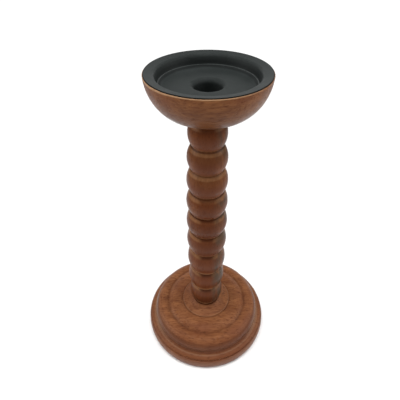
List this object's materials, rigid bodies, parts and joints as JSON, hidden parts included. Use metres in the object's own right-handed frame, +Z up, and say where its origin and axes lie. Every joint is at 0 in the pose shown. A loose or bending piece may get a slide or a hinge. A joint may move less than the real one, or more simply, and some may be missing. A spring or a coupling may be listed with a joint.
{
  "type": "candlestick",
  "caption": "Turned wooden candlestick with a half-round bowl and black dish on top, a bobbin-turned stem and a round stepped base.",
  "frame": {"origin": "centre of the foot, on the surface that the candlestick stands on", "axes": "+Z up along the axis of the turning, from the foot to the rim of the bowl"},
  "size_m": [0.1394, 0.1394, 0.3177],
  "materials": {
    "black_dish": "matt black powder coat on pressed steel",
    "bowl_wood": "satin lacquer over reddish-brown stain",
    "stem_wood": "satin lacquer over reddish-brown stain",
    "base_wood": "satin lacquer over reddish-brown stain",
    "screw_steel": "zinc plated",
    "felt": "black wool felt"
  },
  "bodies": {
    "root": {"candle_pan": "black_dish", "bowl_head": "bowl_wood", "stem": "stem_wood", "base": "base_wood", "top_screw": "screw_steel", "base_screw": "screw_steel", "base_washer": "screw_steel", "felt_pad": "felt"}
  },
  "joints": []
}
